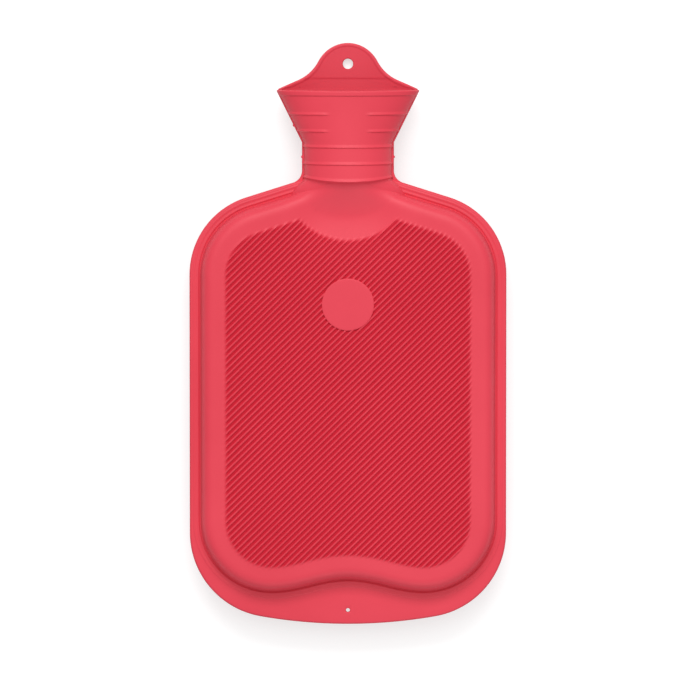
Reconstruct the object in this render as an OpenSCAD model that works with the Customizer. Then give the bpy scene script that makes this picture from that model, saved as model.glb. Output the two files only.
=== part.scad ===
// Rubber hot water bottle, lying on its smooth back.
// X runs across the bag, Y along it towards the neck, Z up through its thickness.
// Places along the bottle are given as stations, measured up from the bottom edge.

/* [Bag outline] */
// Length from the bottom edge to the top of the hanging tab
total_len = 367; // [350:1:390]
// Width across the flange
bag_w = 200; // [180:1:220]
// Radius of the bottom corners
bottom_corner_r = 54; // [50:1:70]
// Radius of the slightly bowed bottom edge
bottom_bow_r = 320; // [250:1:400]
// Drop from the collar down to where the straight sides end and the shoulders begin
shoulder_drop = 61; // [59:0.1:66]
// Radius of the shoulders
shoulder_r = 51; // [51:1:60]
// Slope of the shoulder lines that climb to the neck, in degrees
shoulder_slope = 17.5; // [16:0.5:21]
// Width of the flange at the sides
flange_w = 7; // [7:0.5:8.5]

/* [Chamber] */
// Radius of the chamber's lower corners
chamber_corner_r = 45; // [42:1:50]
// Height of the flap under the two lobes of the chamber's end
flap_h = 21.2; // [18:0.1:26]
// Rise of the wavy end between the lobes
wave_rise = 7.5; // [3:0.5:9]
// Height of the seam above the flat of the back
seam_h = 21; // [20:0.5:23]
// Height of the front above the seam, where its rounded side ends
side_h = 14.5; // [13.5:0.5:17]
// Width of the front's rounded side
roll_w = 13; // [10:0.5:14]
// Depth by which the empty bottle's front is sunken in its middle
dish_h = 3.5; // [1:0.25:4]
// Depth of the back below the seam, where its rounded side ends
back_side_h = 19.5; // [17:0.5:19.5]
// Width of the back's rounded side
back_roll_w = 34; // [28:1:36]
// Wall of the chamber
wall = 2.4; // [1.8:0.1:3]

/* [Flange] */
// Thickness of the welt along the chamber's edge
welt_t = 5; // [4.6:0.2:6]
// Width of the welt
welt_w = 3.4; // [2.4:0.2:3.6]
// Thickness of the flange and of the flap
flange_t = 4.4; // [3.8:0.2:5]
// Thickness at the foot of the groove beside the chamber
groove_t = 4; // [3.2:0.2:4.2]
// Radius of the small hole in the flap
flap_hole_r = 1.3; // [1:0.1:2]
// Station of the small hole in the flap
flap_hole_at = 8.8; // [7:0.1:11]

/* [Ribbed panel] */
// Distance from one rib to the next
rib_pitch = 2.88; // [2.6:0.02:3.6]
// Height of the ribs
rib_h = 1.1; // [0.7:0.1:1.4]
// Slant of the ribs, in degrees
rib_slant = 44; // [40:1:50]
// Bare border between the chamber's edge and the ribs
rib_border = 14.5; // [14.5:0.5:18]
// Length over which a rib rises from the bare border
rib_fade = 2.6; // [2:0.2:4]
// Radius of the bare area round the neck's root
neck_clear_r = 40; // [36:1:44]
// Radius of the bare round pad
pad_r = 16.5; // [12:0.5:20]
// Drop from the collar down to the pad's centre
pad_drop = 79.3; // [72:0.1:92]
// Height of the pad above the tops of the ribs
pad_proud = 0.3; // [0.2:0.1:0.8]

/* [Neck and funnel] */
// Length of the neck and the funnel, from the collar up to the rim
neck_len = 55.5; // [54:0.5:58]
// Width of the neck over its seams
neck_w = 58; // [55:0.5:60]
// Thickness of the neck
neck_t = 38.4; // [38:0.1:39]
// Length of the flared funnel
funnel_len = 33; // [28:0.5:33]
// Width of the funnel at its rim
mouth_w = 90.6; // [84:0.2:96]
// Thickness of the funnel at its rim
mouth_t = 39.8; // [39:0.1:40.2]
// Wall of the funnel
funnel_wall = 2.6; // [2.2:0.1:2.8]
// Height of the raised rings and of the rim's bead
ring_h = 0.7; // [0.4:0.1:0.8]
// Height of the bead along the rim
bead_len = 3; // [2:0.5:4]
// Thickness of the mould seam along the neck
seam_t = 2.4; // [1.6:0.2:3]
// Width of the mould seam along the neck
seam_w = 1.3; // [0.8:0.1:1.6]
// Spacing of the rings
ring_gap = 10.8; // [9:0.2:11]
// Half of the plain stretch between the two halves of the upper rings
ring_break = 12.7; // [8:0.5:16]

/* [Hanging tab] */
// Height of the tab above the front of the rim
tab_h = 29; // [27:0.5:31]
// Radius of the tab's round top
tab_r = 24.2; // [22:0.2:26]
// Slope at which the rim behind climbs from its corners to the tab, in degrees
rim_slope = 24; // [20:1:26]
// Radius of the hollow curves between the tab and the rim
tab_fillet_r = 14; // [10:1:18]
// Radius of the hanging hole
tab_hole_r = 3.25; // [2.5:0.25:4]
// Distance of the hanging hole from the top of the tab
tab_hole_drop = 13.2; // [11:0.2:15]

/* [Stopper and insert] */
// Depth of the washer's seat below the rim
seat_depth = 34; // [33:0.5:36]
// Outer radius of the insert in the neck
insert_r = 14; // [13.6:0.1:14.4]
// Height of the insert's grip rings above its outside
insert_grip = 1.3; // [0.8:0.1:1.6]
// Radius of the insert's top flange
insert_flange_r = 16.2; // [15.8:0.1:16.4]
// Thickness of the insert's top flange
insert_flange_t = 2; // [1.6:0.1:2.4]
// Length of the insert
insert_len = 22; // [21:0.5:24]
// Radius of the insert's bore, inside the thread
insert_bore_r = 10.4; // [10.2:0.1:10.6]
// Radius of the throat under the insert
throat_r = 13; // [12:0.5:14]
// Pitch of the screw thread
thread_pitch = 5; // [4:0.5:6]
// Turns of the stopper's thread
thread_turns = 3; // [2:0.5:3]
// Depth of the thread
thread_depth = 1.8; // [1.4:0.1:2]
// Play between the two threads
thread_play = 0.4; // [0.35:0.05:0.5]
// Outer radius of the stopper's flange
stopper_r = 14.6; // [14:0.1:15]
// Thickness of the stopper's flange
stopper_flange_t = 3; // [2.4:0.2:3.6]
// Wall of the hollow plug
plug_wall = 2.4; // [2:0.1:3]
// Width of the wing grip
wing_w = 27; // [22:0.5:28]
// Height of the wing grip
wing_h = 20; // [16:0.5:22]
// Thickness of the wing grip
wing_t = 6; // [5:0.5:8]
// Thickness of the washer
washer_t = 2; // [1.6:0.1:2.6]

/* [Hidden] */
$fn = 72;

// Stations of the neck's parts and of what is measured from its collar
rim_at = total_len - tab_h;
flare_at = rim_at - funnel_len;
seat_at = rim_at - seat_depth;
collar_at = rim_at - neck_len;
pad_at = collar_at - pad_drop;
shoulder_start = collar_at - shoulder_drop;

half_w = bag_w / 2;
chamber_half = half_w - flange_w;
shoulder_end = 90 - shoulder_slope;

// Centres of the outline's corner arcs, as distance across and station
bottom_cx = half_w - bottom_corner_r;
bottom_cs = bottom_bow_r - sqrt(pow(bottom_bow_r - bottom_corner_r, 2) - pow(bottom_cx, 2));
bow_end = atan2(bottom_cs - bottom_bow_r, bottom_cx);
shoulder_cx = half_w - shoulder_r;
lobe_x = chamber_half - chamber_corner_r;
lobe_cs = flap_h + chamber_corner_r;

// Stations where the shoulder lines of flange and chamber would meet in the middle
flange_apex = shoulder_start + shoulder_r / cos(shoulder_slope) + shoulder_cx * tan(shoulder_slope);
chamber_apex = flange_apex - flange_w / cos(shoulder_slope);
chamber_mid = (flap_h + chamber_apex) / 2;
chamber_reach = (chamber_apex - flap_h) / 2;

// Steps on each stretch of the outline, from the bottom's middle to the top's
bottom_steps = 6;
corner_steps = 8;
side_steps = 4;
shoulder_steps = 7;

// Half of the neck's and the funnel's outside, without the seams
neck_a = neck_w / 2 - seam_w;
neck_b = neck_t / 2;
mouth_a = mouth_w / 2 - ring_h;
mouth_b = mouth_t / 2;
neck_sides = 36;

// Distances in from the chamber's edge at which the rounded sides get their points
front_marks = [1.2, 4, 8, roll_w];
back_marks = [1.5, 5, 11, 20, back_roll_w];

// Laps of the front half and the flange inside each other
seam_lap = 1;
flange_lap = 3;
seam_inset = 0.6;

// Size of the back's flat and of the rings in the chamber's middle, as shares of the outline
flat_share = 0.6;
middle_shares = [0.6, 0.2];

// Groove, slope of the welt's sides and rounding of the outer edges
groove_w = 0.6;
welt_slope = 1;
edge_round = 0.7;

// Section of a raised ring of the neck: where it starts, half its flat top, and where it ends
ring_start = 0.9;
ring_top = 0.3;
ring_end = 1.3;

// Neck below the collar: drop, and how much wider and thinner it is there
neck_root = [[36, 4, 9.5], [31, 9, 6.1], [23, 10, 5], [12, 9, 3.1], [4, 3.5, 1.8], [1.2, 0.6, 0.9]];

// Fillet where the neck's seams run into the flange
web_r = 8;

// Floor of the funnel round the insert's flange, and the height at which its walls start
floor_margin = 1;
floor_rise = 5;

// Lap of the two cuts above the rim
above_lap = 0.1;

// Insert: grip rings, their spacing and section, and the throat below
grip_count = 3;
grip_first = 4;
grip_gap = 5;
grip_section = [0, 0.8, 1.8, 2.6];
throat_len = 14;

// Threads: half width of a tooth at its root, its taper, and how far its root lies inside the wall
tooth_root = 1.45;
tooth_taper = 0.47;
thread_bury = 0.6;
thread_top = -1.5;
thread_steps = 24;
plug_r = insert_bore_r - thread_play;
thread_r = plug_r + thread_depth;
thread_len = thread_turns * thread_pitch;

// Stopper and washer
plug_tip = 1.2;
plug_len = thread_len - thread_top + plug_tip;
wing_foot_share = 0.3;
wing_round_share = 0.3;
wing_core_r = wing_t * 0.85;
wing_core_h = wing_h * 0.6;
stopper_lap = 0.5;
washer_in = 0.6;
washer_play = 0.3;

function at(station) = station - total_len / 2;
function mirrored(half) = concat(half, [for (i = [len(half) - 2:-1:1]) [-half[i][0], half[i][1]]]);
function arc(cx, cs, r, from, to, steps) =
    [for (i = [1:steps]) let (t = from + (to - from) * i / steps) [cx + r * cos(t), cs + r * sin(t)]];

// Station of the chamber's wavy end, and its slope as an angle
function wave(x) = flap_h + wave_rise / 2 * (1 + cos(180 * x / lobe_x));
function wave_angle(x) = atan(-wave_rise / 2 * PI / lobe_x * sin(180 * x / lobe_x));

// Edge of the chamber moved inwards by inset, as points that run round anticlockwise
function chamber_ring(inset) = mirrored(concat(
    [for (i = [0:bottom_steps]) let (x = lobe_x * i / bottom_steps, t = wave_angle(x))
        [x - inset * sin(t), wave(x) + inset * cos(t)]],
    arc(lobe_x, lobe_cs, chamber_corner_r - inset, -90, 0, corner_steps),
    [for (i = [1:side_steps])
        [chamber_half - inset, lobe_cs + (shoulder_start - lobe_cs) * i / side_steps]],
    arc(shoulder_cx, shoulder_start, shoulder_r - flange_w - inset, 0, shoulder_end, shoulder_steps),
    [[neck_a, chamber_apex - inset / cos(shoulder_slope) - neck_a * tan(shoulder_slope)],
     [0, chamber_apex - inset / cos(shoulder_slope)]]));

// Outer edge of the flange moved inwards by inset, point for point beside the chamber's edge
function flange_ring(inset) = mirrored(concat(
    [for (i = [0:bottom_steps]) let (t = -90 + (bow_end + 90) * i / bottom_steps)
        [(bottom_bow_r - inset) * cos(t), bottom_bow_r + (bottom_bow_r - inset) * sin(t)]],
    arc(bottom_cx, bottom_cs, bottom_corner_r - inset, bow_end, 0, corner_steps),
    [for (i = [1:side_steps])
        [half_w - inset, bottom_cs + (shoulder_start - bottom_cs) * i / side_steps]],
    arc(shoulder_cx, shoulder_start, shoulder_r - inset, 0, shoulder_end, shoulder_steps),
    [[neck_a, flange_apex - inset / cos(shoulder_slope) - neck_a * tan(shoulder_slope)],
     [0, flange_apex - inset / cos(shoulder_slope)]]));

// Distance of a place in from the chamber's edge
function depth_above(x, s) = let (q = [x - shoulder_cx, s - shoulder_start])
    q[0] > 0 && q[1] > 0 && atan2(q[1], q[0]) < shoulder_end
        ? shoulder_r - flange_w - norm(q)
        : min(chamber_half - x, (chamber_apex - s - x * tan(shoulder_slope)) * cos(shoulder_slope));
function depth_below(x, s) = let (q = [x - lobe_x, s - lobe_cs])
    q[0] > 0
        ? (q[1] < 0 ? chamber_corner_r - norm(q) : chamber_half - x)
        : min(chamber_half - x, (s - wave(x)) * cos(wave_angle(x)));
function depth(x, s) = min(depth_above(abs(x), s), depth_below(abs(x), s));

// Height of the front above the seam and depth of the back below it, at a distance d in from the
// chamber's edge
function roll(d, width) = d >= width ? 1 : d <= 0 ? 0 : sqrt(1 - pow(1 - d / width, 2));
function dish(x, s) =
    dish_h * max(0, 1 - pow(x / chamber_half, 2)) * max(0, 1 - pow((s - chamber_mid) / chamber_reach, 2));
function face_h(x, s, d) = roll(d, roll_w) * (side_h - dish(x, s));
function back_h(d) = roll(d, back_roll_w) * back_side_h;

// Distance in from the edge of the ribbed panel's surroundings, the neck's root among them
function panel_depth(x, s) = min(depth(x, s), norm([x, s - collar_at - wall]) - neck_clear_r + rib_border);
function fade(d) = let (t = min(1, max(0, (d - rib_border) / rib_fade))) t * t * (3 - 2 * t);

function sum_of(ring, k, i = 0) = i == len(ring) ? 0 : ring[i][k] + sum_of(ring, k, i + 1);
function mean(ring) = [for (k = [0:2]) sum_of(ring, k) / len(ring)];

// Closed solid through a row of rings of points.
// Each ring runs by the right hand about the direction in which the rings follow each other.
module skin(rings) {
    n = len(rings[0]);
    m = len(rings);
    sides = [for (i = [0:m - 2], j = [0:n - 1])
        let (a = i * n + j, b = i * n + (j + 1) % n)
        each [[a, b + n, b], [a, a + n, b + n]]];
    caps = [for (j = [0:n - 1]) let (k = (j + 1) % n)
        each [[m * n, j, k], [m * n + 1, (m - 1) * n + k, (m - 1) * n + j]]];
    polyhedron(points = concat([for (r = rings, p = r) p], [mean(rings[0]), mean(rings[m - 1])]),
               faces = concat(sides, caps), convexity = 8);
}

// The front is laid out on lines that follow the ribs: u runs along a rib, v across the ribs
function place(u, v) = [u * cos(rib_slant) - v * sin(rib_slant),
                        chamber_mid + u * sin(rib_slant) + v * cos(rib_slant)];
function along(p) = p[0] * cos(rib_slant) + (p[1] - chamber_mid) * sin(rib_slant);
function across(p) = (p[1] - chamber_mid) * cos(rib_slant) - p[0] * sin(rib_slant);
function depth_at(u, v, in_panel) = let (p = place(u, v))
    in_panel ? panel_depth(p[0], p[1]) : depth(p[0], p[1]);

// Place on a line, between a deep and a shallow one, that lies at a given depth
function at_depth(v, deep, shallow, level, in_panel, tries = 12) =
    let (mid = (deep + shallow) / 2)
    tries == 0 ? mid
        : depth_at(mid, v, in_panel) > level
            ? at_depth(v, mid, shallow, level, in_panel, tries - 1)
            : at_depth(v, deep, mid, level, in_panel, tries - 1);

// Depths of a line's points from its end inwards, and which of them are measured in the panel
rib_marks = concat([for (d = front_marks) [d, false]], [[rib_border, true], [rib_border + rib_fade, true]]);
function marks(v, mid, end, k = 0) = k == len(rib_marks) ? []
    : let (in_panel = rib_marks[k][1],
           most = depth_at(mid, v, in_panel) * (k + 1) / (len(rib_marks) + 0.5),
           u = at_depth(v, mid, end, min(rib_marks[k][0], most), in_panel))
        concat([u], marks(v, mid, u, k + 1));

function front_point(u, v, h) = let (p = place(u, v), d = depth(p[0], p[1]))
    [p[0], p[1], seam_h + face_h(p[0], p[1], d) + h * fade(panel_depth(p[0], p[1]))];
function front_end(u, v) = let (p = place(u, v)) [p[0], p[1], seam_h - seam_lap];
function reversed(list) = [for (i = [len(list) - 1:-1:0]) list[i]];

// One line of the front as a ring of points: along the face, then back under it
function front_line(v, h, edge) =
    let (n = len(edge),
         hits = [for (i = [0:n - 1]) let (a = edge[i], b = edge[(i + 1) % n], fa = a[1] - v, fb = b[1] - v)
                     if (fa * fb <= 0 && fa != fb) a[0] + (b[0] - a[0]) * fa / (fa - fb)],
         first = min(hits), last = max(hits), mid = (first + last) / 2,
         left = marks(v, mid, first), right = reversed(marks(v, mid, last)),
         inner = [for (t = [1 / 3, 2 / 3]) left[len(left) - 1] * (1 - t) + right[0] * t])
    concat([front_end(first, v)], [for (u = concat(left, inner, right)) front_point(u, v, h)],
           [front_end(last, v)]);

// Front half of the bag with its slanting ribs: crests and valleys by turns
module front() {
    edge = [for (p = chamber_ring(0)) [along(p), across(p)]];
    low = min([for (e = edge) e[1]]);
    high = max([for (e = edge) e[1]]);
    step = rib_pitch / 2;
    tip = 0.3;
    skin(concat([front_line(low + tip, 0, edge)],
                [for (k = [ceil(low / step + 0.6):floor(high / step - 0.6)])
                    front_line(k * step, k % 2 == 0 ? rib_h : 0, edge)],
                [front_line(high - tip, 0, edge)]));
}

function raised(points, z) = [for (p = points) [p[0], p[1], z]];
function shrunk(points, share) =
    [for (p = points) [p[0] * share, chamber_mid + (p[1] - chamber_mid) * share]];

// Half of the flange's section, from the chamber outwards, as rings and thicknesses:
// a groove, the welt, a step down to the flange and its thin edge
flange_section = [[chamber_ring(0), groove_t],
                  [chamber_ring(-groove_w), groove_t],
                  [chamber_ring(-groove_w - welt_slope), welt_t],
                  [chamber_ring(-groove_w - welt_slope - welt_w), welt_t],
                  [chamber_ring(-groove_w - 2 * welt_slope - welt_w), flange_t],
                  [flange_ring(edge_round), flange_t],
                  [flange_ring(0), flange_t - 2 * edge_round]];

// Smooth back half of the bag, with the flat that it lies on and the flange all round
module back_and_flange() {
    skin(concat([raised(shrunk(chamber_ring(back_roll_w), flat_share), 0)],
                [for (d = reversed(back_marks)) raised(chamber_ring(d), seam_h - back_h(d))],
                [for (row = flange_section) raised(row[0], seam_h - row[1] / 2)],
                [for (row = reversed(flange_section)) raised(row[0], seam_h + row[1] / 2)],
                [raised(chamber_ring(flange_lap), seam_h + groove_t / 2)]));
}

// Water chamber, a wall's thickness inside both halves
function floor_ring(d) = raised(chamber_ring(d + wall), seam_h - back_h(d) + wall);
function ceiling_ring(d, share = 1) = [for (p = shrunk(chamber_ring(d + wall), share))
    [p[0], p[1], seam_h + face_h(p[0], p[1], d) - wall]];
module chamber() {
    skin(concat([raised(shrunk(chamber_ring(back_roll_w + wall), flat_share), wall)],
                [for (d = reversed(back_marks)) floor_ring(d)],
                [raised(chamber_ring(wall + seam_inset), seam_h)],
                [for (d = front_marks) ceiling_ring(d)],
                [for (share = middle_shares) ceiling_ring(roll_w, share)]));
}

// Bare round pad that ends the ribs
module pad() {
    top = seam_h + face_h(0, pad_at, roll_w) + rib_h + pad_proud;
    foot = rib_h + pad_proud + wall / 2;
    tilt = atan(2 * dish_h * (pad_at - chamber_mid) / pow(chamber_reach, 2));
    soft = edge_round / 2;
    translate([0, pad_at, top - foot]) rotate([tilt, 0, 0]) rotate_extrude()
        polygon([[0, 0], [pad_r, 0], [pad_r, foot - soft], [pad_r - soft, foot], [0, foot]]);
}

// Half width and half thickness of the neck and funnel at a station
function flare(s) = max(0, (s - flare_at) / (rim_at - flare_at));
function outer_a(s) = neck_a + (mouth_a - neck_a) * min(1, flare(s));
function outer_b(s) = neck_b + (mouth_b - neck_b) * min(1, flare(s));

// Oval ring about the neck's axis, with a raised line that may be plain in the middle
function oval(s, a, b, h = 0, plain = 0) = [for (i = [0:neck_sides - 1])
    let (t = 360 * i / neck_sides, x = a * sin(t), r = abs(x) > plain ? h : 0)
    [x + r * sin(t), s, seam_h + (b + r) * cos(t)]];
function neck_oval(s, h = 0, plain = 0) = oval(s, outer_a(s), outer_b(s), h, plain);
function neck_ring(s, plain = 0) =
    [neck_oval(s - ring_start), neck_oval(s - ring_top, ring_h, plain),
     neck_oval(s + ring_top, ring_h, plain), neck_oval(s + ring_end)];

// Outside of the neck, from its root inside the shoulders to the top of the tab
module neck() {
    skin(concat(
        [for (r = neck_root) oval(collar_at - r[0], neck_a + r[1], neck_b - r[2])],
        [oval(collar_at - ring_top, neck_a, neck_b - neck_root[5][2]), neck_oval(collar_at, ring_h),
         neck_oval(collar_at + 2 * ring_top, ring_h), neck_oval(collar_at + ring_top + ring_end)],
        neck_ring(collar_at + ring_gap),
        neck_ring(collar_at + 2 * ring_gap),
        neck_ring(collar_at + 3 * ring_gap, ring_break),
        neck_ring(collar_at + 4 * ring_gap, ring_break),
        [neck_oval(rim_at - bead_len - ring_h), neck_oval(rim_at - bead_len, ring_h),
         neck_oval(rim_at - ring_h, ring_h), neck_oval(rim_at), neck_oval(total_len + 1)]));
}

// Mould seams down both sides of the neck, running out into the flange
module seams() {
    side = neck_w / 2;
    web_cs = flange_apex - (side + web_r) * tan(shoulder_slope) + web_r / cos(shoulder_slope);
    top = rim_at - ring_h;
    half = concat([[side + web_r, chamber_apex - (side + web_r) * tan(shoulder_slope)]],
                  arc(side + web_r, web_cs, web_r, 270 - shoulder_slope, 180, 6),
                  [[side, flare_at], [outer_a(top) + ring_h, top]]);
    translate([0, 0, seam_h - seam_t / 2]) linear_extrude(seam_t)
        polygon(concat(half, [for (p = reversed(half)) [-p[0], p[1]]]));
}

// Inside of the funnel, down to the seat of the stopper
module funnel() {
    foot_b = neck_b - funnel_wall;
    start = seat_at + floor_rise;
    skin([oval(seat_at, insert_flange_r + floor_margin, foot_b),
          oval(start, outer_a(start) - 2 * funnel_wall, foot_b),
          oval(rim_at, mouth_a - funnel_wall, mouth_b - funnel_wall),
          oval(total_len + 2, mouth_a - funnel_wall, mouth_b - funnel_wall)]);
}

// Outline of the tab and of the rim behind, which climbs to it from the corners of the mouth
module tab_outline() {
    cs = total_len - tab_r;
    corner = mouth_w / 2;
    slant = tan(rim_slope);
    // Centre of the hollow curve, which touches the tab's circle and the climbing rim
    rise = rim_at + slant * corner + tab_fillet_r / cos(rim_slope) - cs;
    reach = tab_r + tab_fillet_r;
    cx = (rise * slant + sqrt(pow(reach, 2) * (1 + pow(slant, 2)) - pow(rise, 2))) / (1 + pow(slant, 2));
    turn = asin((rise - slant * cx) / reach);
    half = concat([[corner, rim_at - 1], [corner, rim_at]],
                  arc(cx, cs + rise - slant * cx, tab_fillet_r, 270 - rim_slope, 180 + turn, 5),
                  arc(0, cs, tab_r, turn, 90, 8));
    polygon(concat(half, [for (p = reversed(half)) [-p[0], p[1]]]));
}

// What is cut from the wall above the rim: all of it in front, and round the tab behind
module above_rim() {
    spread = bag_w / 2;
    translate([-spread / 2, rim_at, seam_h - above_lap]) cube([spread, spread, spread]);
    translate([0, 0, -1]) linear_extrude(seam_h + 1) difference() {
        translate([-spread / 2, rim_at]) square([spread, spread]);
        tab_outline();
    }
}

// Puts what is made along Z, from the seat upwards, on the axis of the neck
module on_neck() translate([0, at(seat_at), seam_h]) rotate([-90, 0, 0]) children();
module lengthwise() translate([0, at(0), 0]) children();

// Outside of the insert with its grip rings, which the neck is moulded round
module insert_outside() rotate_extrude() polygon(concat(
    [[0, -insert_len], [insert_r, -insert_len]],
    [for (i = [0:grip_count - 1], k = [0:3])
        [insert_r + (k == 1 || k == 2 ? insert_grip : 0),
         -insert_len + grip_first + i * grip_gap + grip_section[k]]],
    [[insert_r, -insert_flange_t], [insert_flange_r, -insert_flange_t], [insert_flange_r, 0], [0, 0]]));

// Rubber body in one moulding
module bottle() color([0.86, 0.27, 0.33]) difference() {
    union() {
        lengthwise() front();
        lengthwise() back_and_flange();
        lengthwise() neck();
        lengthwise() seams();
        lengthwise() pad();
    }
    lengthwise() chamber();
    lengthwise() funnel();
    lengthwise() above_rim();
    on_neck() insert_outside();
    on_neck() translate([0, 0, -insert_len - throat_len]) cylinder(r = throat_r, h = throat_len + 0.5);
    lengthwise() translate([0, total_len - tab_hole_drop, -1]) cylinder(r = tab_hole_r, h = seam_h);
    lengthwise() translate([0, flap_hole_at, seam_h - welt_t]) cylinder(r = flap_hole_r, h = 2 * welt_t);
}

// Half width of the stopper's thread at a radius
function tooth(r) = tooth_root - (r - plug_r) * tooth_taper;

// Thread as a ridge that winds up the axis, from one height to another
module thread(inner, outer, widen, from, to, run_out) {
    foot = thread_top - thread_len;
    count = ceil((to - from) / thread_pitch * thread_steps);
    skin([for (i = [0:count])
        let (z = from + (to - from) * i / count, t = 360 * (z - foot) / thread_pitch,
             k = run_out == 0 ? 1 : min(1, i / run_out, (count - i) / run_out),
             tip = inner + (outer - inner) * max(0.1, k))
        [for (q = [[inner, 1], [tip, 1], [tip, -1], [inner, -1]])
            [q[0] * cos(t), q[0] * sin(t), z + q[1] * (tooth(q[0]) + widen)]]]);
}

// Threaded ferrule in the neck, with the washer's seat on its flange
module neck_insert() color([0.78, 0.22, 0.27]) on_neck() difference() {
    insert_outside();
    translate([0, 0, -insert_len - 1]) cylinder(r = insert_bore_r, h = insert_len + 2);
    thread(insert_bore_r - thread_bury, thread_r + thread_play, thread_play,
           thread_top - thread_len - thread_pitch / 4, thread_pitch * 0.6, 0);
}

// Wing that the fingers turn the stopper by
module wing() {
    base = washer_t + stopper_flange_t - stopper_lap;
    top = washer_t + stopper_flange_t + wing_h;
    round_r = wing_h * wing_round_share;
    half = concat([[wing_w * wing_foot_share, base]],
                  arc(wing_w / 2 - round_r, top - round_r, round_r, 0, 90, 8));
    rotate([90, 0, 0]) linear_extrude(wing_t, center = true)
        polygon(concat(half, [for (p = reversed(half)) [-p[0], p[1]]]));
}

// Screw stopper: hollow threaded plug, flange and wing
module stopper() color([0.72, 0.13, 0.18]) on_neck() {
    top = washer_t + stopper_flange_t;
    difference() {
        union() {
            translate([0, 0, -plug_len]) cylinder(r = plug_r, h = plug_len + washer_t + stopper_lap);
            translate([0, 0, washer_t]) cylinder(r = stopper_r, h = stopper_flange_t);
            thread(plug_r - thread_bury, thread_r, 0, thread_top - thread_len, thread_top, thread_steps / 4);
            wing();
            translate([0, 0, top - stopper_lap]) cylinder(r = wing_core_r, h = wing_core_h);
        }
        translate([0, 0, -plug_len - 1]) cylinder(r = plug_r - plug_wall, h = plug_len + 1);
    }
}

// Sealing ring between the insert's seat and the stopper's flange
module washer() color([0.16, 0.15, 0.15]) on_neck() difference() {
    cylinder(r = stopper_r - washer_in, h = washer_t);
    translate([0, 0, -1]) cylinder(r = plug_r + washer_play, h = washer_t + 2);
}

bottle();
neck_insert();
stopper();
washer();
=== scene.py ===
"""Looks of the rubber hot water bottle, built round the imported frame.

Lengths in the shape functions are in millimetres. A station s is measured along the bottle from its
bottom edge, x runs across it and z is the height over the surface that it lies on.
"""

import math

import bpy
import numpy as np
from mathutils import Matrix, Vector


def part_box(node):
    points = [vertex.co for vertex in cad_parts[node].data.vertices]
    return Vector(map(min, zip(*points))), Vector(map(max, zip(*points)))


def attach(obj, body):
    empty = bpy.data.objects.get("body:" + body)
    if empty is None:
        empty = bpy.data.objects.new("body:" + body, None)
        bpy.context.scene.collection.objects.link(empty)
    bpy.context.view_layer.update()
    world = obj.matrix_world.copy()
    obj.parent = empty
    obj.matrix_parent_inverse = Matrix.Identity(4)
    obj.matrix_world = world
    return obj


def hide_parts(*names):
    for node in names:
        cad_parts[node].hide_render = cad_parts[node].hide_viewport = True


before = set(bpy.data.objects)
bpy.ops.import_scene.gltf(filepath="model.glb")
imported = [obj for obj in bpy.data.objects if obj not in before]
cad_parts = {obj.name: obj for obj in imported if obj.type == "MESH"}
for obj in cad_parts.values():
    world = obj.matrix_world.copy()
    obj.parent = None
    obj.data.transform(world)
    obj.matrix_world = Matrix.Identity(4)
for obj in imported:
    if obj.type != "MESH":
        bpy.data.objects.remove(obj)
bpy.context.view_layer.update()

MM = 0.001

# Sizes that the frame gives
BOTTLE_LOW, BOTTLE_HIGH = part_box("bottle")
TOTAL_LEN = (BOTTLE_HIGH.y - BOTTLE_LOW.y) / MM
HALF_W = (BOTTLE_HIGH.x - BOTTLE_LOW.x) / 2 / MM
INSERT_LOW, INSERT_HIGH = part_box("neck_insert")
SEAT_AT = (INSERT_HIGH.y - BOTTLE_LOW.y) / MM
SEAM_H = (INSERT_LOW.z + INSERT_HIGH.z) / 2 / MM

# Outline of the bag
BOTTOM_CORNER_R = 54
BOTTOM_BOW_R = 320
SHOULDER_START = 221.5
SHOULDER_R = 51
SLOPE = math.radians(17.5)
FLANGE_W = 7

# Chamber
CHAMBER_CORNER_R = 45
FLAP_H = 21.2
WAVE_RISE = 7.5
SIDE_H = 14.5
DISH_H = 3.5
NECK_DIP_H = 4.2
NECK_DIP_W = 30
NECK_DIP_LEN = 19
NECK_DIP_BELOW = 22
ROLL_W = 9.5
ROLL_POWER = 2.6
BACK_SIDE_H = 19.5
BACK_ROLL_W = 34
FLAT_SHARE = 0.6
HALF_OVERLAP = 1
WALL = 2.4
VOID_SEAM_IN = 0.6

# Flange
WELT_T = 5
WELT_W = 2.8
FLANGE_T = 4.4
GROOVE_T = 4
GROOVE_W = 0.6
WELT_SLOPE = 1.0
WELT_SINK = 0.22
FLANGE_ROOT = 3
EDGE_W = 1.5
EDGE_FLAT = 0.3
FLAP_HOLE_R = 1.3
FLAP_HOLE_AT = 8.8

# Ribbed panel
RIB_PITCH = 2.88
RIB_H = 1.1
RIB_SLANT = math.radians(44)
RIB_BORDER = 14.5
RIB_FADE = 2.6
RIB_VALLEY = 0.25
RIB_FLANK = 0.72
NECK_CLEAR_R = 40
PAD_R = 16.5
PAD_AT = 203.2
PAD_PROUD = 0.3
PAD_EDGE_R = 0.5
PAD_CROWN = 0.08
PAD_ROOT = 1.4

# Neck and funnel
COLLAR_AT = 282.5
NECK_A = 27.7
NECK_B = 19.2
FLARE_AT = 305
RIM_AT = 338
MOUTH_A = 44.6
MOUTH_B = 19.55
FLARE_BEND = 0.012
FLARE_BEND_LEN = 2.5
FUNNEL_WALL = 2.6
FUNNEL_FOOT_LEN = 7
COLLAR_LIP_UP = 0.6
COLLAR_BOW = 2.3
BOW_CLEAR = 1
ROOT_SPREAD = 9.5
ROOT_SPREAD_LEN = 6
ROOT_SPREAD_POWER = 1.5
ROOT_STEP = 1.2
ROOT_STEP_LEN = 1.5
ROOT_FALL = 0.5
ROOT_REACH = 40
ROOT_SUNK = 0.15
ROOT_BLEND = 5
ROOT_BLEND_H = 8
RING_H = 0.7
LIP_BELOW = 0.55
LIP_ABOVE = 1.9
RINGS_AT = (291.6, 302.3)
BROKEN_AT = (312.2, 322.9)
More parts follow.
